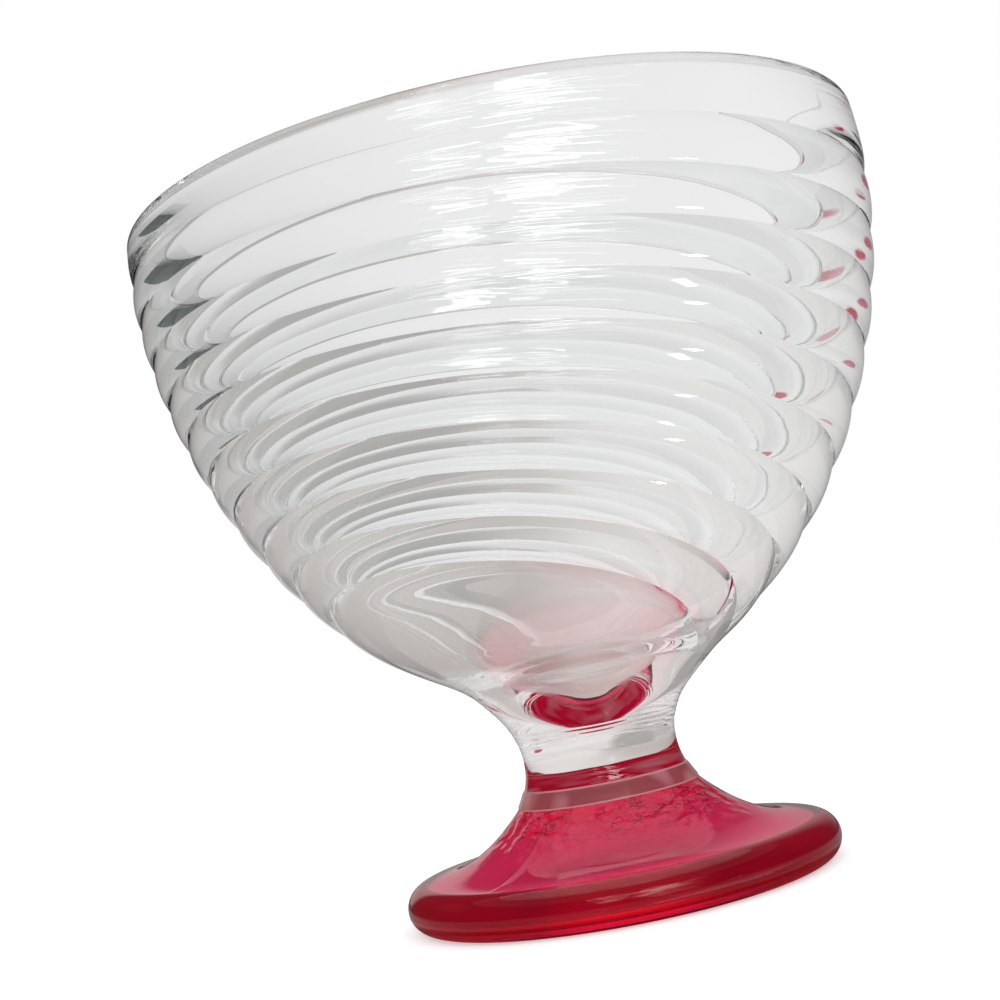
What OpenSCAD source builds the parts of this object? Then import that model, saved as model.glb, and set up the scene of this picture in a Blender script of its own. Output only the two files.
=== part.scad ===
// Footed compote dish: a ribbed clear bowl on a short clear stem, sealed to a ruby disc foot.
// Millimetres, +Z up, origin at the centre of the resting face under the foot.

/* [Overall] */
// Height from the table to the top of the rim
total_h = 98.6; // [93:0.2:109]
// Outside diameter at the widest ring of the bowl
bowl_d = 102; // [92:1:114]
// Diameter of the round foot
foot_d = 59.4; // [52:0.2:68]

/* [Bowl] */
// Wall thickness at the widest ring
wall = 3.5; // [3:0.1:5]
// Height above the joint with the stem where the round inside would close, if it had no pit
floor_rise = 9; // [8:0.5:11]
// Glass left between the bottom of the pit and the joint with the stem
floor_t = 1.7; // [1:0.1:3]
// Diameter of the pit's mouth in the middle of the floor
pit_d = 26.4; // [23:0.2:29]
// How round the bottom of the pit is: 0 is a pointed cone
pit_round = 3.2; // [2:0.2:5]
// Height of the closing-in part from the widest ring up to the rim
rim_band = 8.6; // [7.6:0.1:11]
// How far the outside closes in between the widest ring and the rim
rim_close = 0.6; // [0:0.1:1.4]
// How round the bowl is: 2 is an ellipse, less is more pointed below
belly_power = 1.8; // [1.65:0.05:2.05]

/* [Ribs] */
// Number of rounded ribs around the outside
rib_count = 8; // [5:1:10]
// Depth of the creases between the ribs
rib_depth = 0.6; // [0.3:0.05:1]
// Height of the lowest crease above the joint between bowl and stem
rib_start = 13.8; // [12.5:0.1:16]
// Distance from the highest crease up to the rim
rib_stop = 9.2; // [7.4:0.1:11]

/* [Stem and seal] */
// Diameter of the stem at its waist
stem_d = 21.1; // [19:0.1:23]
// Height of the clear stem
stem_h = 6.2; // [5:0.1:7.5]
// Radius of the waist curve that runs from the foot into the bowl
waist_r = 10; // [9:0.5:12]
// Thickness of the seal ring between stem and foot
seal_t = 2.4; // [1.6:0.1:3.2]
// How far the seal ring stands out past the waist curve
seal_lip = 0.25; // [0:0.05:0.6]

/* [Foot] */
// Height of the foot from the table to the seal ring
foot_h = 13.4; // [12:0.1:15]
// Thickness of the foot at its rounded edge
foot_edge = 6; // [5:0.1:7.2]
// Depth of the shallow hollow under the foot
hollow_depth = 0.8; // [0.4:0.1:1.4]
// Width of the flat ring the dish rests on
rest_w = 5.5; // [3.5:0.1:7]
// How hollow the top of the foot is: 1 is a straight cone
foot_power = 2.05; // [1.7:0.05:2.4]

/* [Hidden] */
$fn = 96;
bowl_r = bowl_d / 2;
foot_r = foot_d / 2;
stem_r = stem_d / 2;
edge_r = foot_edge / 2;
seal_z = foot_h + seal_t;
joint_z = seal_z + stem_h;
// The waist is narrowest a little above the middle of the stem
waist_z = seal_z + 0.56 * stem_h;
// The waist curve turns this far before the bowl takes over
waist_turn = 54;
belly_z = total_h - rim_band;
// Where the bowl's outside curve would close on the axis
tip_z = joint_z + 4;
close_z = joint_z + floor_rise;
inner_r = bowl_r - wall;
pit_r = pit_d / 2;
pit_z = joint_z + floor_t;
lip_r = wall / 2;
lip_z = total_h - lip_r;
crease_low = joint_z + rib_start;
crease_high = total_h - rib_stop;
rib_pitch = (crease_high - crease_low) / rib_count;
// Points per rib, per rounded edge and per long curve
rib_steps = 6;
edge_steps = 10;
curve_steps = 20;

// Radius of the waist curve at height z
function waist(z) = stem_r + waist_r - sqrt(waist_r * waist_r - (z - waist_z) * (z - waist_z));

// Share of the full radius at height z on the outside curve, which closes on the axis at the tip
function belly(z) = sqrt(max(0, 1 - pow(max(0, belly_z - z) / (belly_z - tip_z), belly_power)));

// Closing-in of the wall above the widest ring
function closing(z) = rim_close * pow(max(0, z - belly_z) / rim_band, 2);

function outside(z) = bowl_r * belly(z) - closing(z);

// Height of the round inside at radius r, and of the pit, which meets it at the pit's mouth
function round_z(r) = belly_z - (belly_z - close_z) * pow(1 - pow(r / inner_r, 2), 1 / belly_power);
function pit_rise(r) = norm([r, pit_round]) - pit_round;
function pit_height(r) = pit_z + (round_z(pit_r) - pit_z) * pit_rise(r) / pit_rise(pit_r);

// Height of point k on rib i, and how far the rib dips there
function rib_z(i, k) = crease_low + (i + k / rib_steps) * rib_pitch;
function rib_dip(k) = rib_depth * pow(2 * k / rib_steps - 1, 2);

// Outside of the bowl: the waist curve, the plain part below the ribs, the ribs, the band under the lip
waist_points = [for (a = [0 : waist_turn / 8 : waist_turn])
    let (z = waist_z + waist_r * sin(a))
    if (z > joint_z + 0.3)
    [stem_r + waist_r * (1 - cos(a)), z]];
waist_end = waist_points[len(waist_points) - 1];
plain_steps = 5;
plain_points = [for (k = [1 : plain_steps])
    let (z = waist_end[1] + (crease_low - waist_end[1]) * k / (plain_steps + 1))
    if (outside(z) > waist_end[0] + 0.4)
    [outside(z), z]];
rib_points = [for (i = [0 : rib_count - 1])
    for (k = [0 : rib_steps - 1])
    [outside(rib_z(i, k)) - rib_dip(k), rib_z(i, k)]];
band_steps = 4;
band_points = [for (k = [0 : band_steps - 1])
    let (z = crease_high + (lip_z - crease_high) * k / band_steps)
    [outside(z) - (k == 0 ? rib_depth : 0), z]];
lip_x = outside(lip_z) - lip_r;
lip_points = [for (a = [0 : 180 / edge_steps : 180])
    [lip_x + lip_r * cos(a), lip_z + lip_r * sin(a)]];
upper_inside_points = [for (k = [1 : band_steps])
    let (z = lip_z - (lip_z - belly_z) * k / band_steps)
    [inner_r - closing(z), z]];
inside_points = [for (k = [1 : curve_steps])
    let (r = pit_r + (inner_r - pit_r) * cos(90 * k / curve_steps))
    [r, round_z(r)]];
pit_steps = 8;
pit_points = [for (k = [1 : pit_steps])
    let (r = pit_r * (1 - k / pit_steps))
    [r, pit_height(r)]];

module bowl() {
    color([0.92, 0.95, 0.95, 0.35])
    rotate_extrude()
    polygon(concat(
        [[0, joint_z], [waist(joint_z), joint_z]],
        waist_points,
        plain_points,
        rib_points,
        band_points,
        lip_points,
        upper_inside_points,
        inside_points,
        pit_points
    ));
}

// Short solid piece between the bowl and the seal
module stem() {
    stem_steps = curve_steps / 2;
    color([0.9, 0.94, 0.94, 0.35])
    rotate_extrude()
    polygon(concat(
        [[0, seal_z]],
        [for (k = [0 : stem_steps])
            let (z = seal_z + stem_h * k / stem_steps)
            [waist(z), z]],
        [[0, joint_z]]
    ));
}

// Thin ring of glass where the clear stem is sealed to the foot
module seal_ring() {
    seal_steps = 6;
    color([0.8, 0.55, 0.58, 0.5])
    rotate_extrude()
    polygon(concat(
        [[0, foot_h]],
        [for (k = [0 : seal_steps])
            let (z = foot_h + seal_t * k / seal_steps)
            [waist(z) + seal_lip * sin(180 * k / seal_steps), z]],
        [[0, seal_z]]
    ));
}

foot_top_r = waist(foot_h);
shoulder_r = foot_r - edge_r;
rest_in = shoulder_r - rest_w;
hollow_steps = 8;
hollow_points = [for (k = [0 : hollow_steps - 1])
    [rest_in * k / hollow_steps, hollow_depth * (1 - pow(k / hollow_steps, 2))]];
foot_edge_points = [for (a = [-90 : 180 / edge_steps : 90])
    [shoulder_r + edge_r * cos(a), edge_r + edge_r * sin(a)]];
foot_top_points = [for (k = [1 : curve_steps])
    let (t = k / curve_steps)
    [shoulder_r - (shoulder_r - foot_top_r) * t, foot_edge + (foot_h - foot_edge) * pow(t, foot_power)]];

// Ruby disc with a rounded edge, rising to a boss under the seal ring
module foot() {
    color([0.72, 0.08, 0.2, 0.75])
    rotate_extrude()
    polygon(concat(
        hollow_points,
        [[rest_in, 0]],
        foot_edge_points,
        foot_top_points,
        [[0, foot_h]]
    ));
}

bowl();
stem();
seal_ring();
foot();
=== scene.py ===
# %% [markdown]
# # A footed compote dish
# The real dish is pressed glass: a ribbed clear bowl on a short clear stem, joined to a ruby foot.
# It could be shaped by hand, but every piece is round. So each is turned like clay on a wheel: a curve of
# radius against height goes once round the axis, and a few sizes decide the whole form.
# The measured part is loaded first, so that every piece lands where its solid is.

import math

import bpy
import numpy as np
from mathutils import Matrix, Vector


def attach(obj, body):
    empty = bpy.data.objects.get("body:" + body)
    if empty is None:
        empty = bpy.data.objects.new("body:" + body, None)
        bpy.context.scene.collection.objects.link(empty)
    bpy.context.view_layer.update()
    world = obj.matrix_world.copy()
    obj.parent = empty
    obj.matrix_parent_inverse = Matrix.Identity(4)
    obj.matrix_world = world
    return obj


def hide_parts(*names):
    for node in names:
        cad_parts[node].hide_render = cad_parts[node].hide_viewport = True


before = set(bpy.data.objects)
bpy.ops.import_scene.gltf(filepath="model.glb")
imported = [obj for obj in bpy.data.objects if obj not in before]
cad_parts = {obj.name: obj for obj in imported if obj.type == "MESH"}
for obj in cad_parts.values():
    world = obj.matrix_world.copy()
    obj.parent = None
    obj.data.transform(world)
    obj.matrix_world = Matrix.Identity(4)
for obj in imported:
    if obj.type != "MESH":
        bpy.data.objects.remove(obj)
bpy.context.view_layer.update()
MM = 0.001
scene = bpy.context.scene

# %% [markdown]
# ## Where the eye is
# The photograph was taken from close by, with the lens a little above the stem and tipped sideways.
# The dish could be tipped instead, but then it wouldn't stand. So it stands upright and the camera leans.
# From there the bowl is seen from below and the foot from above.

# %% Set the camera
EYE_BACK, EYE_HEIGHT, NEAREST = 231.0, 36.6, 5.0
FOCAL_PIXELS, IMAGE_PIXELS, SENSOR = 1673.0, 1000.0, 36.0
YAW, PITCH, ROLL = (math.radians(a) for a in (-1.69, 4.67, -11.14))


def place_camera():
    """A camera in front of the dish: turned by yaw, raised by pitch, then rolled about its line of sight."""
    look = Vector((math.sin(YAW) * math.cos(PITCH), math.cos(YAW) * math.cos(PITCH), math.sin(PITCH)))
    right = Vector((math.cos(YAW), -math.sin(YAW), 0))
    up = right.cross(look)
    right_rolled = math.cos(ROLL) * right + math.sin(ROLL) * up
    up_rolled = math.cos(ROLL) * up - math.sin(ROLL) * right
    lens = bpy.data.cameras.new("camera")
    lens.sensor_width = SENSOR
    lens.lens = FOCAL_PIXELS / IMAGE_PIXELS * SENSOR
    lens.clip_start = NEAREST * MM
    camera = bpy.data.objects.new("camera", lens)
    scene.collection.objects.link(camera)
    turn = Matrix((right_rolled, up_rolled, -look)).transposed().to_4x4()
    turn.translation = Vector((0, -EYE_BACK * MM, EYE_HEIGHT * MM))
    camera.matrix_world = turn
    return camera


scene.camera = place_camera()
scene.view_settings.view_transform = "Standard"
print("lens, mm:", round(scene.camera.data.lens, 1))

# %% Follow light through many faces of glass
LIGHT_BOUNCES = 40
scene.cycles.max_bounces = LIGHT_BOUNCES
scene.cycles.transmission_bounces = LIGHT_BOUNCES
scene.cycles.glossy_bounces = LIGHT_BOUNCES
print("bounces:", LIGHT_BOUNCES)

# %% [markdown]
# ## The waist that the pieces share
# On the real dish one round curve runs from the foot, past the seal and the stem, into the bowl.
# Each piece could have a curve of its own, but then every joint would show a step.
# So one function gives the waist, and each piece takes its own stretch of it.

# %% Heights and the waist
FOOT_H, SEAL_TOP, JOINT_Z, TOTAL_H = 13.4, 15.8, 22.0, 98.6
STEM_R, WAIST_R = 10.55, 10.0
WAIST_SHARE = 0.56
WAIST_Z = SEAL_TOP + WAIST_SHARE * (JOINT_Z - SEAL_TOP)
# Gap between joined pieces, so thin that it can't be seen
HAIR = 0.01


def waist(z):
    return STEM_R + WAIST_R - np.sqrt(WAIST_R**2 - (z - WAIST_Z) ** 2)


print("waist narrowest at", round(WAIST_Z, 1), "mm, radius", STEM_R, "mm")

# %% [markdown]
# ## The wheel
# A curve can be spun by a modifier, and that does well for level rings. The ribs of this bowl aren't level.
# So the wheel is written out: it takes rows of points, and a row may rise and fall as it goes round.

# %% Turn rows of points into a piece
AROUND = 384
SHARP_TURN = math.radians(18)
angles = np.linspace(0, 2 * np.pi, AROUND, endpoint=False)


def close_end(faces, ring, middle, flip):
    """Closes one end with triangles from a ring to its middle point. Returns the numbers of those faces."""
    first = len(faces)
    for j in range(AROUND):
        here, after = ring + j, ring + (j + 1) % AROUND
        faces.append((after, here, middle) if flip else (here, after, middle))
    return range(first, len(faces))


def turned(name, rows, low_end, high_end):
    """A piece from rows of (radius, height), plain numbers or one value per angle, in mm.

    Both ends are closed on the axis at the heights given. The faces that close them are returned too.
    """
    rings = []
    for r, z in rows:
        r, z = np.broadcast_to(r, AROUND), np.broadcast_to(z, AROUND)
        rings.append(np.stack([r * np.cos(angles), r * np.sin(angles), z], 1) * MM)
    points = [tuple(p) for p in np.concatenate(rings)]
    faces = []
    step = np.arange(AROUND)
    after = (step + 1) % AROUND
    for i in range(len(rows) - 1):
        low, high = i * AROUND, (i + 1) * AROUND
        faces.extend(np.stack([low + step, low + after, high + after, high + step], 1).tolist())
    low_faces = close_end(faces, 0, len(points), True)
    high_faces = close_end(faces, (len(rows) - 1) * AROUND, len(points) + 1, False)
    mesh = bpy.data.meshes.new(name)
    mesh.from_pydata(points + [(0, 0, low_end * MM), (0, 0, high_end * MM)], [], faces)
    mesh.update()
    mesh.polygons.foreach_set("use_smooth", [True] * len(faces))
    mesh.set_sharp_from_angle(angle=SHARP_TURN)
    piece = bpy.data.objects.new(name, mesh)
    scene.collection.objects.link(piece)
    return piece, low_faces, high_faces


print("points in a ring:", AROUND)

# %% [markdown]
# ## Finishes that every glass shares
# Pressed glass is never quite flat: a slow ripple from the mould bends what is mirrored in it.
# Handling leaves a film of dust in patches, and a few dark specks. They could be painted as pictures,
# but noise needs no picture and goes round a piece without a seam.
# Each finish is a node group that is made once, and every glass uses it.


# %% Helpers for nodes
def add_node(tree, kind, values=None, **settings):
    """Adds a shader node: settings are its own choices, values fill its sockets by name or number."""
    node = tree.nodes.new(f"ShaderNode{kind}")
    for setting, choice in settings.items():
        setattr(node, setting, choice)
    for socket, value in (values or {}).items():
        node.inputs[socket].default_value = value
    return node


def join(tree, *links):
    """Links nodes: each link is (node that gives, its output, node that takes, its input)."""
    for giver, output, taker, socket in links:
        tree.links.new(giver.outputs[output], taker.inputs[socket])


def start_group(name, takes, gives):
    """A new node group and its two ends. takes and gives map the names of sockets to Float or Color."""
    group = bpy.data.node_groups.new(name, "ShaderNodeTree")
    for side, sockets in (("INPUT", takes), ("OUTPUT", gives)):
        for socket, kind in sockets.items():
            group.interface.new_socket(socket, in_out=side, socket_type=f"NodeSocket{kind}")
    return group, group.nodes.new("NodeGroupInput"), group.nodes.new("NodeGroupOutput")


print("node groups so far:", len(bpy.data.node_groups))

# %% Ripple from the mould
RIPPLE_STRETCH = (1, 1, 5)
RIPPLE_DETAIL = 0.5


def ripple_group():
    group, takes, gives = start_group("pressed ripple", {"Size": "Float"}, {"Height": "Float"})
    place = add_node(group, "TexCoord")
    stretch = add_node(group, "VectorMath", {1: RIPPLE_STRETCH}, operation="MULTIPLY")
    waves = add_node(group, "TexNoise", {"Detail": RIPPLE_DETAIL})
    join(
        group,
        (place, "Object", stretch, 0),
        (stretch, "Vector", waves, "Vector"),
        (takes, "Size", waves, "Scale"),
        (waves, "Fac", gives, "Height"),
    )
    return group


ripple = ripple_group()
print("nodes in the ripple:", len(ripple.nodes))

# %% Film of dust
FILM_SCALE, FILM_DETAIL = 70, 3
FILM_STARTS, FILM_FULL = 0.52, 0.75


def film_group():
    limits = {"Least": "Float", "Most": "Float"}
    group, takes, gives = start_group("dust film", limits, {"Roughness": "Float"})
    place = add_node(group, "TexCoord")
    patches = add_node(group, "TexNoise", {"Scale": FILM_SCALE, "Detail": FILM_DETAIL})
    spread = add_node(group, "MapRange", {"From Min": FILM_STARTS, "From Max": FILM_FULL})
    join(
        group,
        (place, "Object", patches, "Vector"),
        (patches, "Fac", spread, "Value"),
        (takes, "Least", spread, "To Min"),
        (takes, "Most", spread, "To Max"),
        (spread, "Result", gives, "Roughness"),
    )
    return group


film = film_group()
print("nodes in the film:", len(film.nodes))

# %% Specks of dust
SPECK_SCALE, SPECK_SIZE = 60, 0.014
SPECK_TONE = (0.25, 0.24, 0.23, 1)


def speck_group():
    group, takes, gives = start_group("dust specks", {"Glass": "Color"}, {"Color": "Color"})
    place = add_node(group, "TexCoord")
    cells = add_node(group, "TexVoronoi", {"Scale": SPECK_SCALE})
    in_speck = add_node(group, "Math", {1: SPECK_SIZE}, operation="LESS_THAN")
    mix = add_node(group, "Mix", {"B": SPECK_TONE}, data_type="RGBA", blend_type="MULTIPLY")
    join(
        group,
        (place, "Object", cells, "Vector"),
        (cells, "Distance", in_speck, 0),
        (in_speck, 0, mix, "Factor"),
        (takes, "Glass", mix, "A"),
        (mix, "Result", gives, "Color"),
    )
    return group


specks = speck_group()
print("nodes in the specks:", len(specks.nodes))

# %% [markdown]
# ## The recipe for glass
# Glass lets light through and bends it. One shader with full transmission does that, with the three finishes.
# Where two pieces are joined there is no surface at all in real glass. The pieces here stay separate,
# so the faces at a joint get an index of 1, and light goes straight on.

# %% Glass and joined faces
GLASS_INDEX = 1.5
RIPPLE_REACH = 4 * MM


def bare_glass(name, colour, index):
    material = bpy.data.materials.new(name)
    material.use_nodes = True
    shader = material.node_tree.nodes["Principled BSDF"]
    shader.inputs["Base Color"].default_value = (*colour, 1)
    shader.inputs["Transmission Weight"].default_value = 1
    shader.inputs["IOR"].default_value = index
    return material, shader


def glass(name, colour, ripple_size=70, ripple_depth=0.007, film_least=0.0, film_most=0.05):
    """Glass with ripple, film and specks. The plain colour stays on the shader for viewers without nodes."""
    material, shader = bare_glass(name, colour, GLASS_INDEX)
    tree = material.node_tree
    wave = add_node(tree, "Group", {"Size": ripple_size}, node_tree=ripple)
    bump = add_node(tree, "Bump", {"Strength": ripple_depth, "Distance": RIPPLE_REACH}, name="ripple bump")
    dirt = add_node(tree, "Group", {"Glass": (*colour, 1)}, node_tree=specks, name="dirt")
    dust = add_node(tree, "Group", {"Least": film_least, "Most": film_most}, node_tree=film)
    join(
        tree,
        (wave, "Height", bump, "Height"),
        (bump, "Normal", shader, "Normal"),
        (dirt, "Color", shader, "Base Color"),
        (dust, "Roughness", shader, "Roughness"),
    )
    return material


def joined_face(name, colour):
    material, shader = bare_glass(name, colour, 1.0)
    shader.inputs["Roughness"].default_value = 0
    return material


def two_tone(material, group, one, other):
    """Feeds a glass's own colour from a group that mixes two tones."""
    tree = material.node_tree
    tones = add_node(tree, "Group", {0: (*one, 1), 1: (*other, 1)}, node_tree=group)
    join(tree, (tones, "Color", tree.nodes["dirt"], "Glass"))


joined_clear = joined_face("joined face, clear", (1, 1, 1))
print("glasses so far:", len(bpy.data.materials))

# %% [markdown]
# ## Clear glass that deepens where it is thick
# Clear glass isn't without colour. The bowl's bottom is a thick lump, and there it turns a little warmer.
# Absorption in a volume would do this too, but it is slower to render, and not every viewer keeps it.
# So the tone changes with height instead.

# %% Thick bottom
CLEAR = (0.975, 0.982, 0.98)
THICK_CLEAR = (0.84, 0.80, 0.79)
THICK_Z, THIN_Z = 27, 48


def thick_group():
    group, takes, gives = start_group("thick bottom", {"Thin": "Color", "Thick": "Color"}, {"Color": "Color"})
    place = add_node(group, "TexCoord")
    split = add_node(group, "SeparateXYZ")
    heights = {"From Min": THICK_Z * MM, "From Max": THIN_Z * MM}
    rise = add_node(group, "MapRange", heights, interpolation_type="SMOOTHSTEP")
    mix = add_node(group, "Mix", data_type="RGBA")
    join(
        group,
        (place, "Object", split, 0),
        (split, "Z", rise, "Value"),
        (rise, "Result", mix, "Factor"),
        (takes, "Thick", mix, "A"),
        (takes, "Thin", mix, "B"),
        (mix, "Result", gives, "Color"),
    )
    return group


thick = thick_group()
clear_glass = glass("clear glass", CLEAR)
two_tone(clear_glass, thick, CLEAR, THICK_CLEAR)
print("clear glass deepens below", THIN_Z, "mm")

# %% [markdown]
# ## The bowl's outside and inside
# The outside is a cup, a little more pointed than half an ellipse, that closes in slightly at the rim.
# The inside is the same kind of curve, with a small pit in the middle of its floor. The pit acts as a lens:
# it gathers the red of the foot into the curved patch above the stem.
# Both could be drawn point by point, but glass shows every kink, and formulas have none.

# %% Outside of the bowl
BOWL_R, WALL = 51.0, 3.5
BELLY_Z, TIP_Z, BELLY_POWER = 90.0, 26.0, 1.8
RIM_CLOSE = 0.6
# The waist curve ends after this turn, and the cup begins this far above its tip
WAIST_TURN, CUP_RISE = math.radians(54), 4.2
# The curve is sampled in small steps, a little past both ends
CURVE_STEP, CURVE_SPARE = 0.1, 8
# Between waist and cup it is eased by a soft average, and the easing fades out further away
EASE_WIDTH, EASE_STEPS, EASE_FULL, EASE_FADE = 1.1, 40, 5, 4


def closing(z):
    return RIM_CLOSE * (np.maximum(0, z - BELLY_Z) / (TOTAL_H - BELLY_Z)) ** 2


def cup(z):
    share = np.maximum(0, BELLY_Z - z) / (BELLY_Z - TIP_Z)
    return BOWL_R * np.sqrt(np.maximum(0, 1 - share**BELLY_POWER))


def outside_curve():
    """Heights and radii of the outside, with the turn from waist to cup eased over a few millimetres."""
    z = np.arange(JOINT_Z - CURVE_SPARE, TOTAL_H + CURVE_SPARE, CURVE_STEP)
    turn_z, cup_z = WAIST_Z + WAIST_R * math.sin(WAIST_TURN), TIP_Z + CUP_RISE
    cone = np.interp(z, [turn_z, cup_z], [waist(turn_z), cup(cup_z)])
    upper = np.where(z < cup_z, cone, cup(z) - closing(z))
    r = np.where(z < turn_z, waist(np.minimum(z, turn_z)), upper)
    kernel = np.exp(-0.5 * (np.arange(-EASE_STEPS, EASE_STEPS + 1) * CURVE_STEP / EASE_WIDTH) ** 2)
    eased = np.convolve(np.pad(r, EASE_STEPS, mode="edge"), kernel / kernel.sum(), mode="valid")
    share = np.clip((np.abs(z - 0.5 * (turn_z + cup_z)) - EASE_FULL) / EASE_FADE, 0, 1)
    return z, r * share + eased * (1 - share)


outside_z, outside_r = outside_curve()
middle_z = (JOINT_Z + TOTAL_H) / 2
print("outside radius at mid height, mm:", round(float(np.interp(middle_z, outside_z, outside_r)), 1))

# %% Base that is fuller on one side
LEAN_DIR = math.radians(-125)
BULGE, BULGE_Z, BULGE_SPREAD = 1.5, 30.5, 4.5
towards_lean = np.cos(angles - LEAN_DIR)


def outside(z):
    """Radius of the outside at height z. With one height per angle, the base is fuller where ribs run low."""
    r = np.interp(z, outside_z, outside_r)
    if np.ndim(z):
        r = r - BULGE * np.exp(-(((z - BULGE_Z) / BULGE_SPREAD) ** 2)) * towards_lean
    return r


fullest = outside(np.full(AROUND, BULGE_Z))
print("base radius, mm:", round(fullest.min(), 1), "to", round(fullest.max(), 1))

# %% Inside of the bowl
FLOOR_Z, PIT_Z, PIT_ROUND, PIT_R = 31.0, 23.7, 3.2, 13.2
# The shoulder between pit and floor is soft, and the pit counts only this far out
SHOULDER_SOFT, PIT_REACH = 0.5, 1.5
INNER_R = BOWL_R - WALL


def round_height(r):
    return BELLY_Z - (BELLY_Z - FLOOR_Z) * np.maximum(0, 1 - (r / INNER_R) ** 2) ** (1 / BELLY_POWER)


def inside_height(r):
    """Height of the inside at radius r: a round bowl with a small pit and a soft shoulder between them."""
    slope = (round_height(PIT_R) - PIT_Z) / (math.hypot(PIT_R, PIT_ROUND) - PIT_ROUND)
    pit = PIT_Z + slope * (np.hypot(r, PIT_ROUND) - PIT_ROUND)
    lower = 0.5 * (round_height(r) + pit - np.hypot(round_height(r) - pit, SHOULDER_SOFT))
    return np.where(r < PIT_REACH * PIT_R, lower, round_height(r))


PIT_BOTTOM = float(inside_height(0.0))
print("bottom of the pit, mm:", round(PIT_BOTTOM, 1))

# %% [markdown]
# ## The leaning ribs
# The ribs are rings, but not level ones: they lie close together at the near left and fan out to the right.
# A bump map could draw them, but they show in the outline and bend what is behind, so they are real shape.
# A row of points rises and falls round the bowl, and every crease is one whole row.
# That keeps the creases sharp, as the mould left them, while the ribs between them stay round.

# %% Where the creases run
RIB_LOW, RIB_PITCH, RIB_COUNT = 29.1, 6.7, 9
LEAN, FAN_Z = 0.234, 105.1
BASE_Z, BASE_SOFT = 28.0, 2.0


def crease_height(mean_z):
    """Height round the bowl of the row whose mean height is mean_z. Low rows settle on the plain base."""
    lean = LEAN * (FAN_Z - mean_z)
    over = mean_z + lean * towards_lean - BASE_Z
    return BASE_Z + 0.5 * (over + np.sqrt(over**2 + 4 * BASE_SOFT**2))


first_crease = crease_height(RIB_LOW)
last_crease = crease_height(RIB_LOW + RIB_COUNT * RIB_PITCH)
print("first crease, mm:", round(first_crease.min(), 1), "to", round(first_crease.max(), 1))

# %% How deep the creases are
# A rib has no depth where its creases are this close, and full depth where there is this much more room
ROOM_NONE, ROOM_MORE = 1.0, 4.5
# Depth of the creases low and high on the bowl, and the heights where it is so
DEPTHS, DEPTH_HEIGHTS = (0.8, 0.5), (40, 92)
# Height over which creases grow out of the plain base
GROW_START, GROW_OVER = 1, 8


def rib_room(rib):
    """Share of the full depth that a rib has room for, from the distance between its two creases."""
    room = crease_height(RIB_LOW + (rib + 1) * RIB_PITCH) - crease_height(RIB_LOW + rib * RIB_PITCH)
    return np.clip((room - ROOM_NONE) / ROOM_MORE, 0, 1)


def depth_at(z):
    """Depth of a crease at height z: none on the plain base, full a little above it."""
    rise = np.clip((z - BASE_Z - GROW_START) / GROW_OVER, 0, 1)
    return np.interp(z, DEPTH_HEIGHTS, DEPTHS) * rise**2 * (3 - 2 * rise)


print("first rib's depth, share:", round(rib_room(0).min(), 2), "to", round(rib_room(0).max(), 2))

# %% Rows of the plain base
BASE_ROWS, LEAD_ROWS = 60, 36
MOULD_LINES, MOULD_LINE_H, MOULD_LINE_W = (22.6, 23.2), 0.06, 0.13
BASE_TOP = BASE_Z - 1
# The outside dips into the first crease over this height
LEAD_DIP = 3


def base_rows():
    """From the stem to the first crease: a plain base with two fine mould lines."""
    rows = []
    for z in np.linspace(JOINT_Z + HAIR, BASE_TOP, BASE_ROWS):
        line = sum(math.exp(-(((z - at) / MOULD_LINE_W) ** 2)) for at in MOULD_LINES)
        rows.append((outside(np.full(AROUND, z)) + MOULD_LINE_H * line, z))
    for t in np.linspace(0, 1, LEAD_ROWS)[1:-1]:
        z = BASE_TOP + (first_crease - BASE_TOP) * t
        dip = depth_at(z) * rib_room(0) * np.maximum(0, 1 - (first_crease - z) / LEAD_DIP) ** 2
        rows.append((outside(z) - dip, z))
    return rows


print("rows of the base:", len(base_rows()))

# %% Rows of the ribs and the band above them
ROWS_PER_RIB, BAND_ROWS = 30, 30
# Below 1, this moves the fullest place of a rib down
RIB_SAG = 0.85
# The outside comes out of the last crease over this height
BAND_DIP = 3.2
LIP_R = WALL / 2
LIP_Z = TOTAL_H - LIP_R


def rib_rows():
    """The ribs, crease by crease, and the smooth band between the last crease and the lip."""
    rows = []
    for rib in range(RIB_COUNT):
        for k in range(ROWS_PER_RIB):
            share = k / ROWS_PER_RIB
            z = crease_height(RIB_LOW + (rib + share) * RIB_PITCH)
            room = rib_room(rib)
            if k == 0:
                room = np.maximum(room, rib_room(max(rib - 1, 0)))
            dip = depth_at(z) * room * (2 * share**RIB_SAG - 1) ** 2
            rows.append((outside(z) - dip, z))
    for t in np.linspace(0, 1, BAND_ROWS)[:-1]:
        z = last_crease + (LIP_Z - last_crease) * t
        dip = depth_at(z) * np.maximum(0, 1 - (z - last_crease) / BAND_DIP) ** 2
        rows.append((outside(z) - dip, z))
    return rows


print("rows of the ribs:", len(rib_rows()))

# %% Rows of the lip and the inside
LIP_ROWS, UPPER_ROWS, INSIDE_ROWS = 33, 16, 120
# The last row stays just off the axis
INSIDE_SHARE = 0.995


def inside_rows():
    """Over the round lip and down the smooth inside."""
    lip_x = float(outside(LIP_Z)) - LIP_R
    rows = []
    for a in np.linspace(0, np.pi, LIP_ROWS):
        rows.append((lip_x + LIP_R * math.cos(a), LIP_Z + LIP_R * math.sin(a)))
    for z in np.linspace(LIP_Z, BELLY_Z, UPPER_ROWS)[1:]:
        rows.append((INNER_R - closing(z), z))
    for t in np.linspace(0, 1, INSIDE_ROWS)[1:]:
        r = INNER_R * np.sin(np.pi / 2 * (1 - t * INSIDE_SHARE))
        rows.append((r, inside_height(r)))
    return rows


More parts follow.
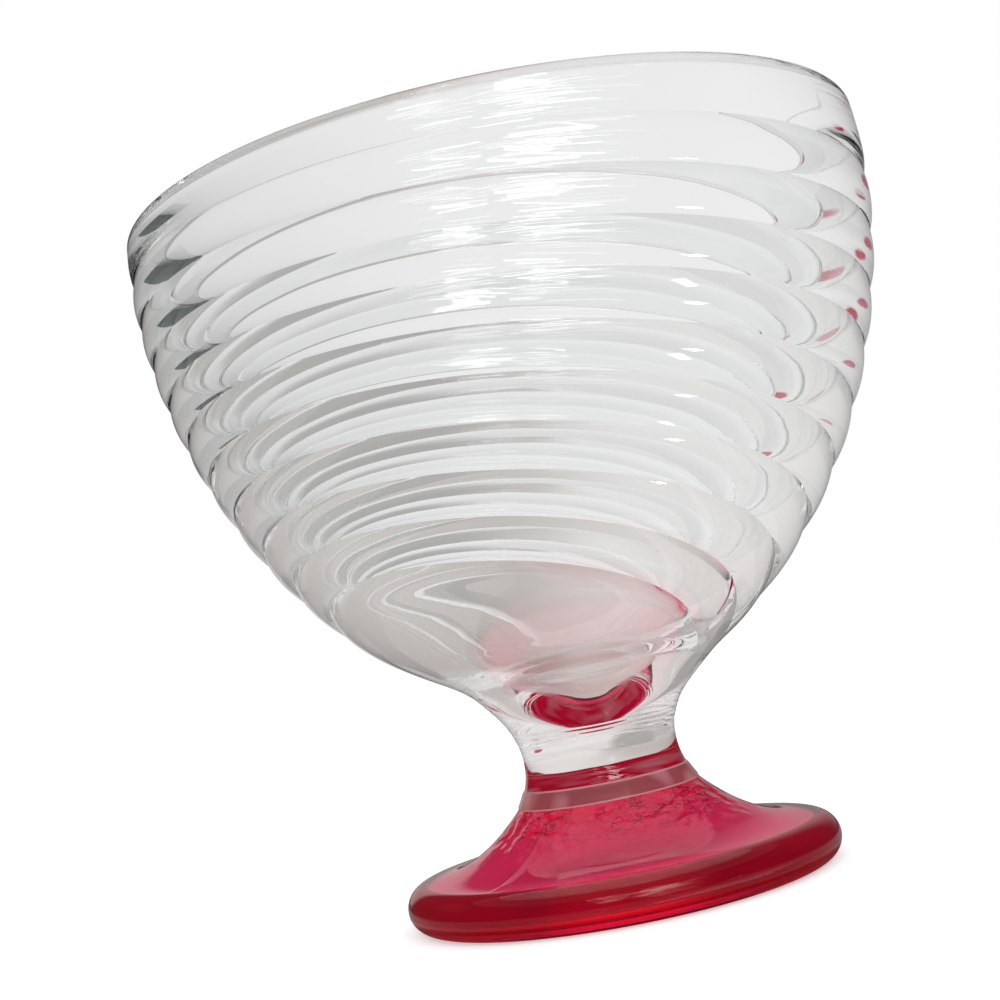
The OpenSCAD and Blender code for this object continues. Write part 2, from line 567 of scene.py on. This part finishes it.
print("rows of the lip and inside:", len(inside_rows()))


# %% Make the bowl
def dress(piece, material, joined, joined_faces):
    """Gives a piece its glass, and the joined look where it meets another piece."""
    piece.data.materials.append(material)
    piece.data.materials.append(joined)
    for i in joined_faces:
        piece.data.polygons[i].material_index = 1


bowl_rows = base_rows() + rib_rows() + inside_rows()
bowl, bowl_joint, _ = turned("bowl_glass", bowl_rows, JOINT_Z + HAIR, PIT_BOTTOM)
dress(bowl, clear_glass, joined_clear, bowl_joint)
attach(bowl, "root")
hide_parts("bowl")
print("bowl faces:", len(bowl.data.polygons))

# %% [markdown]
# ## The stem
# The stem is a short solid neck of the same clear glass, with stronger and finer waves in it.
# A cylinder would leave a step at both ends, so it is the waist curve between seal and bowl, turned.
# Both of its ends are joined faces.

# %% Make the stem
STEM_ROWS = 48
STEM_THICK = (0.92, 0.90, 0.89)
stem_glass = glass("clear stem glass", CLEAR, ripple_size=190, ripple_depth=0.02)
two_tone(stem_glass, thick, CLEAR, STEM_THICK)
stem_low, stem_high = SEAL_TOP + HAIR, JOINT_Z - HAIR
stem_rows = [(waist(z), z) for z in np.linspace(stem_low, stem_high, STEM_ROWS)]
stem, stem_foot_end, stem_bowl_end = turned("stem_glass", stem_rows, stem_low, stem_high)
dress(stem, stem_glass, joined_clear, (*stem_foot_end, *stem_bowl_end))
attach(stem, "root")
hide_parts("stem")
print("stem faces:", len(stem.data.polygons))

# %% [markdown]
# ## The seal
# Where clear and ruby glass were pressed together hot, they mixed a little. That left a thin cloudy ring,
# glossier along both of its edges, where a paler colour is a painted highlight. Glass that scatters light
# could be made with a volume.
# Here it is half clear and half painted, in two tones that change in soft patches, which renders faster.
# Its top face is seen through the stem, red with soft patches, so it is painted too. Its one pale spot is a
# painted highlight.

# %% Cloudy glass
CLOUD_SCALE, CLOUD_DETAIL = 150, 1
CLOUD_STARTS, CLOUD_FULL = 0.45, 0.7
# A painted highlight spot is whole inside this share of its radius and fades out from there
HIGHLIGHT_SPOT_WHOLE = 0.3


def cloud_group():
    group, takes, gives = start_group("cloudy glass", {"Deep": "Color", "Pale": "Color"}, {"Color": "Color"})
    place = add_node(group, "TexCoord")
    patches = add_node(group, "TexNoise", {"Scale": CLOUD_SCALE, "Detail": CLOUD_DETAIL})
    spread = add_node(group, "MapRange", {"From Min": CLOUD_STARTS, "From Max": CLOUD_FULL})
    mix = add_node(group, "Mix", data_type="RGBA")
    join(
        group,
        (place, "Object", patches, "Vector"),
        (patches, "Fac", spread, "Value"),
        (spread, "Result", mix, "Factor"),
        (takes, "Deep", mix, "A"),
        (takes, "Pale", mix, "B"),
        (mix, "Result", gives, "Color"),
    )
    return group


cloud = cloud_group()
print("nodes in the cloud:", len(cloud.nodes))


# %% Helpers for the seal's glasses
def less_clear(material, share):
    material.node_tree.nodes["Principled BSDF"].inputs["Transmission Weight"].default_value = share


def cloudy(material, deep, pale):
    """Gives a glass two tones in soft patches."""
    tree = material.node_tree
    patches = add_node(tree, "Group", {"Deep": (*deep, 1), "Pale": (*pale, 1)}, node_tree=cloud)
    join(tree, (patches, "Color", tree.nodes["Principled BSDF"], "Base Color"))


def painted_highlight_spot(material, tone, middle, radius):
    """Lays a soft painted highlight over a glass's colour: its middle and radius are in mm."""
    tree = material.node_tree
    colour = tree.nodes["Principled BSDF"].inputs["Base Color"]
    place = add_node(tree, "TexCoord")
    away = add_node(tree, "VectorMath", {1: [v * MM for v in middle]}, operation="DISTANCE")
    reach = {"From Min": HIGHLIGHT_SPOT_WHOLE * radius * MM, "From Max": radius * MM}
    fade = add_node(tree, "MapRange", reach, interpolation_type="SMOOTHSTEP")
    mix = add_node(tree, "Mix", {"A": (*tone, 1)}, data_type="RGBA")
    tree.links.new(colour.links[0].from_socket, mix.inputs["B"])
    join(tree, (place, "Object", away, 0), (away, "Value", fade, "Value"), (fade, "Result", mix, "Factor"))
    tree.links.new(mix.outputs["Result"], colour)


seal_glass = glass("seal glass", (0.34, 0.07, 0.09), film_least=0.12, film_most=0.3)
less_clear(seal_glass, 0.45)
cloudy(seal_glass, (0.36, 0.10, 0.12), (0.72, 0.40, 0.43))
# Painted highlight: the paler colour along the seal's edges stands in for light mirrored there; the lower
# roughness mirrors for real.
seal_edge_highlight = glass("seal edges, painted highlight", (0.72, 0.36, 0.40), film_least=0.1, film_most=0.2)
less_clear(seal_edge_highlight, 0.4)
print("glasses so far:", len(bpy.data.materials))

# %% Red faces at the seal
RUBY = (0.50, 0.004, 0.028)
PALE_RED = (0.98, 0.24, 0.31)
joined_ruby = joined_face("joined face, ruby", RUBY)
ruby_face = joined_face("ruby face under the stem", (0.95, 0.03, 0.11))
less_clear(ruby_face, 0)
cloudy(ruby_face, (0.95, 0.008, 0.06), PALE_RED)
# Painted highlight: a pale spot on the ruby face stands in for the window mirrored where the stem meets the
# ruby.
painted_highlight_spot(ruby_face, PALE_RED, middle=(5.0, -2.7, SEAL_TOP), radius=2.6)
print("glasses so far:", len(bpy.data.materials))

# %% Make the seal
SEAL_LIP, LIP_POWER = 0.25, 6
SEAL_ROWS = 24
# Height of the painted highlight along both edges
EDGE_HIGHLIGHT = 0.2
SEAL_PAINTS = {"top": 2, "line": 3}
seal_low, seal_high = FOOT_H + HAIR, SEAL_TOP - HAIR


def seal_rows():
    """The waist curve with a small lip that stands out between the two edges."""
    rows = []
    for t in np.linspace(0, 1, SEAL_ROWS):
        z = seal_low + t * (SEAL_TOP - FOOT_H - 2 * HAIR)
        rows.append((waist(z) + SEAL_LIP * (1 - abs(2 * t - 1) ** LIP_POWER), z))
    return rows


seal, seal_foot_end, seal_stem_end = turned("seal_glass", seal_rows(), seal_low, seal_high)
dress(seal, seal_glass, joined_ruby, seal_foot_end)
seal.data.materials.append(ruby_face)
seal.data.materials.append(seal_edge_highlight)
for i in seal_stem_end:
    seal.data.polygons[i].material_index = SEAL_PAINTS["top"]
for face in seal.data.polygons:
    from_end = min(face.center.z / MM - FOOT_H, SEAL_TOP - face.center.z / MM)
    if face.material_index == 0 and from_end < EDGE_HIGHLIGHT:
        face.material_index = SEAL_PAINTS["line"]
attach(seal, "root")
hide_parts("seal_ring")
print("seal faces:", len(seal.data.polygons))

# %% [markdown]
# ## The foot
# The foot is a thick ruby disc: a round edge, a hollow top that sweeps up to the seal, a flat resting ring.
# The press left a fine ridge across its top, and the hot glass folded into short wrinkles under the seal.
# The ridge is shape, because it catches light. The wrinkles are too fine for that: they are bump and colour.
# The underside was ground, which makes it matt.

# %% Rows of the foot
FOOT_R, FOOT_EDGE, FOOT_POWER = 29.7, 6.0, 2.05
HOLLOW, HOLLOW_START, REST_W = 0.8, 0.5, 5.5
SHOULDER_R = FOOT_R - FOOT_EDGE / 2
SEAM_DIR, SEAM_H = math.radians(360 - 129.4), 0.2
HOLLOW_ROWS, REST_ROWS, EDGE_ROWS, TOP_ROWS = 40, 8, 41, 70


def foot_rows():
    """From the hollow underneath, over the resting ring and the round edge, up the sweep of the top."""
    rest_in = SHOULDER_R - REST_W
    rows = [(r, HOLLOW * (1 - (r / rest_in) ** 2)) for r in np.linspace(HOLLOW_START, rest_in, HOLLOW_ROWS)]
    for t in np.linspace(0, 1, REST_ROWS)[1:-1]:
        rows.append((rest_in + REST_W * t, 0.0))
    for a in np.radians(np.linspace(-90, 90, EDGE_ROWS)):
        rows.append((SHOULDER_R + FOOT_EDGE / 2 * math.cos(a), FOOT_EDGE / 2 * (1 + math.sin(a))))
    top_r = float(waist(FOOT_H))
    ridge = np.exp(-(((angles - SEAM_DIR) * AROUND / (2 * np.pi)) ** 2))
    for t in np.linspace(0, 1, TOP_ROWS)[1:]:
        sweep = FOOT_EDGE + (FOOT_H - HAIR - FOOT_EDGE) * t**FOOT_POWER
        rows.append((SHOULDER_R - (SHOULDER_R - top_r) * t, sweep + SEAM_H * ridge * math.sin(math.pi * t)))
    return rows


print("rows of the foot:", len(foot_rows()))

# %% Wrinkles under the seal
# Turns round the axis and height are stretched by these, so that the folds run round
FOLD_STRETCH, FOLD_DETAIL = (6, 900, 1), 3
FOLDS_START, FOLDS_FULL = 7.5, 11
PATCH_SCALE, PATCH_STARTS, PATCH_FULL = 160, 0.40, 0.52
# A dark line runs where the noise is this close to its middle
FOLD_MIDDLE, FOLD_LINE = 0.5, 0.035


def patches_near_seal(group, place, split):
    """A node that gives 1 in some patches near the seal and 0 elsewhere."""
    near_seal = add_node(group, "MapRange", {"From Min": FOLDS_START * MM, "From Max": FOLDS_FULL * MM})
    patches = add_node(group, "TexNoise", {"Scale": PATCH_SCALE})
    some = add_node(group, "MapRange", {"From Min": PATCH_STARTS, "From Max": PATCH_FULL})
    both = add_node(group, "Math", operation="MULTIPLY")
    join(
        group,
        (split, "Z", near_seal, "Value"),
        (place, "Object", patches, "Vector"),
        (patches, "Fac", some, "Value"),
        (some, "Result", both, 0),
        (near_seal, "Result", both, 1),
    )
    return both


def wrinkle_group():
    """Short folds that run round the foot just under the seal, where the hot glass was pressed together."""
    group, _, gives = start_group("seal wrinkles", {}, {"Height": "Float", "Shade": "Float"})
    place = add_node(group, "TexCoord")
    split = add_node(group, "SeparateXYZ")
    patchy = patches_near_seal(group, place, split)
    round_axis = add_node(group, "Math", operation="ARCTAN2")
    along = add_node(group, "CombineXYZ")
    stretch = add_node(group, "VectorMath", {1: FOLD_STRETCH}, operation="MULTIPLY")
    folds = add_node(group, "TexNoise", {"Scale": 1, "Detail": FOLD_DETAIL})
    height = add_node(group, "Math", operation="MULTIPLY")
    from_middle = add_node(group, "Math", {1: FOLD_MIDDLE}, operation="SUBTRACT")
    away = add_node(group, "Math", operation="ABSOLUTE")
    line = add_node(group, "MapRange", {"From Max": FOLD_LINE, "To Min": 1, "To Max": 0})
    shade = add_node(group, "Math", operation="MULTIPLY")
    join(
        group,
        (place, "Object", split, 0),
        (split, "Y", round_axis, 0),
        (split, "X", round_axis, 1),
        (round_axis, 0, along, "X"),
        (split, "Z", along, "Y"),
        (along, 0, stretch, 0),
        (stretch, "Vector", folds, "Vector"),
        (folds, "Fac", height, 0),
        (patchy, 0, height, 1),
        (height, 0, gives, "Height"),
        (folds, "Fac", from_middle, 0),
        (from_middle, 0, away, 0),
        (away, 0, line, "Value"),
        (line, "Result", shade, 0),
        (patchy, 0, shade, 1),
        (shade, 0, gives, "Shade"),
    )
    return group


wrinkles = wrinkle_group()
print("nodes in the wrinkles:", len(wrinkles.nodes))

# %% Edge with painted light
# The painted light is whole this close to the middle of the near side and gone this far from it, in mm
CAUSTIC_WHOLE, CAUSTIC_GONE = 3, 13


def painted_caustic_group():
    """Painted light: edge colour that is lighter in the middle of the near side, where the round edge gathers
    light from behind towards the eye, and deeper away from it.
    """
    group, takes, gives = start_group("edge with painted caustic", {"Middle": "Color", "Ends": "Color"}, {"Color": "Color"})
    place = add_node(group, "TexCoord")
    split = add_node(group, "SeparateXYZ")
    away = add_node(group, "Math", operation="ABSOLUTE")
    reach = {"From Min": CAUSTIC_WHOLE * MM, "From Max": CAUSTIC_GONE * MM}
    deepen = add_node(group, "MapRange", reach, interpolation_type="SMOOTHSTEP")
    mix = add_node(group, "Mix", data_type="RGBA")
    join(
        group,
        (place, "Object", split, 0),
        (split, "X", away, 0),
        (away, 0, deepen, "Value"),
        (deepen, "Result", mix, "Factor"),
        (takes, "Middle", mix, "A"),
        (takes, "Ends", mix, "B"),
        (mix, "Result", gives, "Color"),
    )
    return group


uneven = painted_caustic_group()
print("nodes in the edge with painted caustic:", len(uneven.nodes))

# %% Ruby glasses
FOLD_DEPTH, FOLD_REACH = 0.9, 1 * MM
FOLD_SHADE = (0.10, 0.001, 0.008)


def fold(material):
    """Lays the wrinkles over a glass's ripple, with a darker line of colour along each fold."""
    tree = material.node_tree
    shader = tree.nodes["Principled BSDF"]
    folds = add_node(tree, "Group", node_tree=wrinkles)
    bump = add_node(tree, "Bump", {"Strength": FOLD_DEPTH, "Distance": FOLD_REACH})
    mix = add_node(tree, "Mix", {"B": (*FOLD_SHADE, 1)}, data_type="RGBA")
    join(
        tree,
        (folds, "Height", bump, "Height"),
        (tree.nodes["ripple bump"], "Normal", bump, "Normal"),
        (bump, "Normal", shader, "Normal"),
        (folds, "Shade", mix, "Factor"),
        (tree.nodes["dirt"], "Color", mix, "A"),
        (mix, "Result", shader, "Base Color"),
    )


ruby_glass = glass("ruby glass", (1.0, 0.04, 0.15), film_least=0.03, film_most=0.1)
fold(ruby_glass)
deep_glass = glass("deep ruby glass", (0.55, 0.0008, 0.012), film_least=0.04, film_most=0.12)
# Painted light: the edge is lighter in the middle of the near side and darker towards its ends.
two_tone(deep_glass, uneven, (0.75, 0.0008, 0.012), (0.30, 0.0004, 0.006))
ground_glass = glass("ground underside", (1.0, 0.05, 0.25), film_least=0.5, film_most=0.7)
less_clear(ground_glass, 0.9)
print("glasses:", len(bpy.data.materials))

# %% Make the foot
FOOT_PAINTS = {"edge": 2, "underside": 3}
# The round edge begins above the table by this much, and an underside looks down at least this steeply
EDGE_START, LOOKS_DOWN = 0.1, -0.5
foot, _, foot_seal_end = turned("foot_glass", foot_rows(), HOLLOW, FOOT_H - HAIR)
dress(foot, ruby_glass, joined_ruby, foot_seal_end)
foot.data.materials.append(deep_glass)
foot.data.materials.append(ground_glass)
for face in foot.data.polygons:
    if math.hypot(*face.center[:2]) > SHOULDER_R * MM and face.center.z > EDGE_START * MM:
        face.material_index = FOOT_PAINTS["edge"]
    elif face.normal.z < LOOKS_DOWN:
        face.material_index = FOOT_PAINTS["underside"]
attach(foot, "root")
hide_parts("foot")
print("foot faces:", len(foot.data.polygons))

# %% [markdown]
# ## The floor
# The dish stands on a pale table. A plain sheet does, and a little glow keeps it pale under the dish,
# where less light from the white world comes in.

# %% Floor
FLOOR_HALF = 6000
FLOOR_GLOW = 0.45
MATT = 0.9


def plain(name, colour, glow=0.0):
    """Matt paint, or with a glow a card that only gives off light."""
    material = bpy.data.materials.new(name)
    material.use_nodes = True
    shader = material.node_tree.nodes["Principled BSDF"]
    shader.inputs["Base Color"].default_value = (*colour, 1)
    shader.inputs["Roughness"].default_value = MATT
    if glow:
        shader.inputs["Base Color"].default_value = (0, 0, 0, 1)
        shader.inputs["Emission Color"].default_value = (*colour, 1)
        shader.inputs["Emission Strength"].default_value = glow
    return material


def sheet(name, corners, material):
    """A flat sheet on the stage between four corners in mm."""
    mesh = bpy.data.meshes.new(name)
    mesh.from_pydata([tuple(c * MM for c in corner) for corner in corners], [], [(0, 1, 2, 3)])
    mesh.uv_layers.new(name="across").data.foreach_set("uv", [0, 0, 1, 0, 1, 1, 0, 1])
    mesh.materials.append(material)
    thing = bpy.data.objects.new(name, mesh)
    scene.collection.objects.link(thing)
    return thing


SHEET_CORNERS = ((-1, -1), (1, -1), (1, 1), (-1, 1))
floor_paint = plain("pale floor", (0.86, 0.86, 0.86))
floor_shader = floor_paint.node_tree.nodes["Principled BSDF"]
floor_shader.inputs["Emission Color"].default_value = (1, 1, 1, 1)
floor_shader.inputs["Emission Strength"].default_value = FLOOR_GLOW
sheet("floor", [(x * FLOOR_HALF, y * FLOOR_HALF, -2 * HAIR) for x, y in SHEET_CORNERS], floor_paint)
print("floor, mm across:", 2 * FLOOR_HALF)

# %% [markdown]
# ## The room seen through the glass
# Glass has no colour of its own to show: it shows the room. In a white world alone it would all but vanish.
# So a ring of wall and a table, in greys that fade from side to side, stand round the dish.
# The camera doesn't see wall and table, and nor do mirrored rays: only what looks through glass meets them.


# %% Helpers for cards round the dish
RING_STEPS = 96


def ring_card(name, low, high, material, hidden_from=(), start=0, part=360):
    """A card bent round the axis from azimuth start, between two (radius, height) in mm.

    The camera doesn't see it, and nor do the rays that it is hidden from.
    """
    turn = np.radians(np.linspace(start, start + part, RING_STEPS + 1))
    points = [(r * math.cos(t) * MM, r * math.sin(t) * MM, z * MM) for r, z in (low, high) for t in turn]
    faces = [(i, i + 1, RING_STEPS + i + 2, RING_STEPS + i + 1) for i in range(RING_STEPS)]
    mesh = bpy.data.meshes.new(name)
    mesh.from_pydata(points, [], faces)
    mesh.materials.append(material)
    card = bpy.data.objects.new(name, mesh)
    scene.collection.objects.link(card)
    for ray in ("camera", "shadow", "diffuse", *hidden_from):
        setattr(card, f"visible_{ray}", False)
    return card


def room_paint(name, colour, *fades):
    """A glowing colour that fades along an axis: each fade is (axis, start, end, colour at start), in mm."""
    material = plain(name, colour, glow=1.0)
    tree = material.node_tree
    place = add_node(tree, "TexCoord")
    split = add_node(tree, "SeparateXYZ")
    join(tree, (place, "Object", split, 0))
    below = None
    for axis, start, end, tone in fades:
        reach = {"From Min": start * MM, "From Max": end * MM}
        blend = add_node(tree, "MapRange", reach, interpolation_type="SMOOTHSTEP")
        mix = add_node(tree, "Mix", {"A": (*tone, 1), "B": (*colour, 1)}, data_type="RGBA")
        join(tree, (split, axis, blend, "Value"), (blend, "Result", mix, "Factor"))
        if below:
            join(tree, (below, "Result", mix, "B"))
        below = mix
    join(tree, (below, "Result", tree.nodes["Principled BSDF"], "Emission Color"))
    return material


print("steps in a ring:", RING_STEPS)

# %% Wall and table behind the glass
ROOM_R, ROOM_H = 1600, 1500
EDGE_IN, UNDER_R, SHADE_OUT = SHOULDER_R, SHOULDER_R - 0.1, 31
AXIS_GAP = 0.5
THROUGH = ("glossy",)
FRONT = (0.35, 0.35, 0.35)
wall_paint = room_paint(
    "room wall",
    (0.90, 0.905, 0.90),
    ("Z", 0, 400, (0.78, 0.78, 0.775)),
    ("X", -1100, 50, (0.55, 0.55, 0.545)),
    ("Y", -900, 0, FRONT),
)
table_paint = room_paint(
    "table card",
    (0.86, 0.85, 0.84),
    ("X", -30, 20, (0.61, 0.575, 0.56)),
    ("X", -300, -120, (0.66, 0.645, 0.635)),
    ("Y", -500, 0, FRONT),
)
shade_paint = plain("shade under the edge", (0.10, 0.05, 0.05), glow=1.0)
under_paint = plain("light under the foot", (1, 1, 1), glow=1.0)
ring_card("room_wall", (ROOM_R, 0), (ROOM_R, ROOM_H), wall_paint, THROUGH)
ring_card("table_card", (SHADE_OUT, -HAIR), (ROOM_R, -HAIR), table_paint, THROUGH)
ring_card("shade_under_edge", (EDGE_IN, -HAIR), (SHADE_OUT, -HAIR), shade_paint)
ring_card("light_under_foot", (AXIS_GAP, -HAIR), (UNDER_R, -HAIR), under_paint)

# %% [markdown]
# ## The room mirrored on the glass
# Glass also mirrors the room, and what it mirrors lies over what is seen through it. If both came from
# the same pale cards, the ruby foot would look misty. So a second, darker room is met only by mirrored rays.

# %% Mirrored room
MIRROR_R, MIRROR_H = ROOM_R - 10, ROOM_H - 10
CLOTH_OUT, CEILING_IN = 70, 1
MIRRORED = ("transmission",)
DIM = (0.03, 0.03, 0.03)
mirror_paint = room_paint(
    "mirrored room",
    (0.35, 0.35, 0.35),
    ("X", -300, 250, DIM),
    ("X", 1000, 250, DIM),
    ("Y", -400, 400, DIM),
)
ceiling_paint = plain("mirrored ceiling", (0.15, 0.15, 0.15), glow=1.0)
dim_paint = plain("mirrored table", DIM, glow=1.0)
cloth_paint = plain("mirrored cloth", (0.25, 0.25, 0.25), glow=1.0)
ring_card("mirrored_wall", (MIRROR_R, 0), (MIRROR_R, MIRROR_H), mirror_paint, MIRRORED)
ring_card("mirrored_ceiling", (MIRROR_R, MIRROR_H), (CEILING_IN, MIRROR_H), ceiling_paint, MIRRORED)
ring_card("mirrored_table", (CLOTH_OUT, -HAIR), (MIRROR_R, -HAIR), dim_paint, MIRRORED)
ring_card("mirrored_cloth", (SHADE_OUT, -HAIR), (CLOTH_OUT, -HAIR), cloth_paint, MIRRORED)

# %% [markdown]
# ## The window
# The white streaks on the ribs are a window, mirrored in every rib. One big card would give plain bars.
# So each pane is cut into strips of uneven length, height, slant and brightness. Chance picks those,
# from a fixed seed, so that every run gives the same window.


# %% Strips of the window
def upright(name, azimuth, width, low, high, distance, material, tilt=0):
    """A card that stands facing the dish: azimuth in degrees, where -90 is the camera's side; sizes in mm."""
    a = math.radians(azimuth)
    out, side = (math.cos(a), math.sin(a)), (-math.sin(a), math.cos(a))
    mid = (out[0] * distance, out[1] * distance)
    ends = [(mid[0] + s * side[0] * width / 2, mid[1] + s * side[1] * width / 2) for s in (-1, 1)]
    corners = [(*ends[0], low), (*ends[1], low + tilt), (*ends[1], high + tilt), (*ends[0], high)]
    card = sheet(name, corners, material)
    card.visible_camera = False
    card.visible_shadow = False
    return card


DAYLIGHT = (0.97, 0.99, 1.0)
faint = [plain(f"faint strip {glow}", DAYLIGHT, glow) for glow in (2.0, 3.5)]
bright = [plain(f"window strip {glow}", DAYLIGHT, glow) for glow in (3.0, 6.0, 9.0)]
# A pane: its left side and raggedness in degrees, its width and lowest and highest edge in mm,
# the number of its strips, the share of each step that a strip may fill, and its paints
PANES = (
    (-80, 6, 120, 14, 70, 8, 0.4, faint),
    (-82, 10, 130, 70, 225, 17, 0.8, bright),
    (-107, 6, 75, 60, 225, 13, 0.45, bright),
)
WINDOW_AWAY = 260
THINNEST, SHORTEST, LONGEST, SLANT = 0.2, 0.3, 1.05, 0.12
SEED = 5
chance = np.random.default_rng(SEED)
for left_side, ragged, width, low, high, strips, cover, paints in PANES:
    step = (high - low) / strips
    for k in range(strips):
        bottom = low + step * k
        top = bottom + step * cover * chance.uniform(THINNEST, 1)
        across = width * chance.uniform(SHORTEST, LONGEST)
        turn = left_side + math.degrees(across / 2 / WINDOW_AWAY) + chance.uniform(-ragged, ragged)
        tilt = chance.uniform(-SLANT, SLANT) * across
        paint = paints[chance.integers(len(paints))]
        upright(f"strip_{left_side}_{low}_{k}", turn, across, bottom, top, WINDOW_AWAY, paint, tilt)

# %% Light low on the table
STREAK_RADII, STREAK_W = (34.5, 36.5, 39.0), 0.4
STREAK_START, STREAK_STEP, STREAK_PART = -84, 8, 38
for k, r in enumerate(STREAK_RADII):
    start = STREAK_START + STREAK_STEP * k
    ring_card(f"rim_streak_{k}", (r, 0), (r + STREAK_W, 0), bright[0], MIRRORED, start, STREAK_PART)
LAMP_AWAY, LAMP_DIR, LAMP_Z = 178, math.radians(-39), 1
LAMP_HALF_X, LAMP_HALF_Y = 14, 8
lamp_x, lamp_y = LAMP_AWAY * math.cos(LAMP_DIR), LAMP_AWAY * math.sin(LAMP_DIR)
lamp_corners = [(lamp_x + x * LAMP_HALF_X, lamp_y + y * LAMP_HALF_Y, LAMP_Z) for x, y in SHEET_CORNERS]
lamp = sheet("table_spot", lamp_corners, plain("small lamp", (1.0, 0.99, 0.97), glow=16.0))
lamp.visible_camera = False
lamp.visible_shadow = False
lamp.visible_diffuse = False

# %% [markdown]
# ## Dark, grey and red things behind the dish
# Each rib bends what stands behind it into a small shape of its own: dark triangles at the left, a grey shade
# in the bowl, and red spots at the right. Painted marks would stay put when the eye moves.
# Cards behind the dish do what the real things do, and the ribs themselves make the shapes.

# %% Cards behind the dish
BEHIND = 285
# Soft paint is whole up to the first distance from the middle of its card and gone at the second, as shares
# of the card's width and height
SOFT_WHOLE, SOFT_GONE = 0.3, 0.5
CARD_MIDDLE = (0.5, 0.5, 0)


def soft_paint(name, colour):
    """A patch of colour that fades away towards its edges."""
    material = plain(name, colour, glow=1.0)
    tree = material.node_tree
    place = add_node(tree, "TexCoord")
    away = add_node(tree, "VectorMath", {1: CARD_MIDDLE}, operation="DISTANCE")
    reach = {"From Min": SOFT_WHOLE, "From Max": SOFT_GONE, "To Min": 1, "To Max": 0}
    fade = add_node(tree, "MapRange", reach, interpolation_type="SMOOTHSTEP")
    join(
        tree,
        (place, "UV", away, 0),
        (away, "Value", fade, "Value"),
        (fade, "Result", tree.nodes["Principled BSDF"], "Alpha"),
    )
    return material


dark = plain("dark furniture", (0.065, 0.08, 0.075), glow=1.0)
grey = soft_paint("grey furniture", (0.46, 0.45, 0.44))
rosy = soft_paint("red side card", (0.50, 0.01, 0.06))
upright("dark_side", azimuth=155, width=147, low=125, high=232, distance=BEHIND, material=dark)
upright("grey_side", azimuth=109, width=170, low=-40, high=110, distance=BEHIND, material=grey)
red_card = upright("red_side", azimuth=52.5, width=62, low=62, high=108, distance=BEHIND, material=rosy)
red_card.visible_glossy = False

# %% [markdown]
# ## White world
# A studio photograph of glass has a white backdrop. A plain white world gives that, and soft light all round.
# The finished dish must be as large as the measured part.

# %% White world
world = bpy.data.worlds.new("studio")
scene.world = world
world.use_nodes = True
world.node_tree.nodes["Background"].inputs["Color"].default_value = (1, 1, 1, 1)
print("world:", world.name)
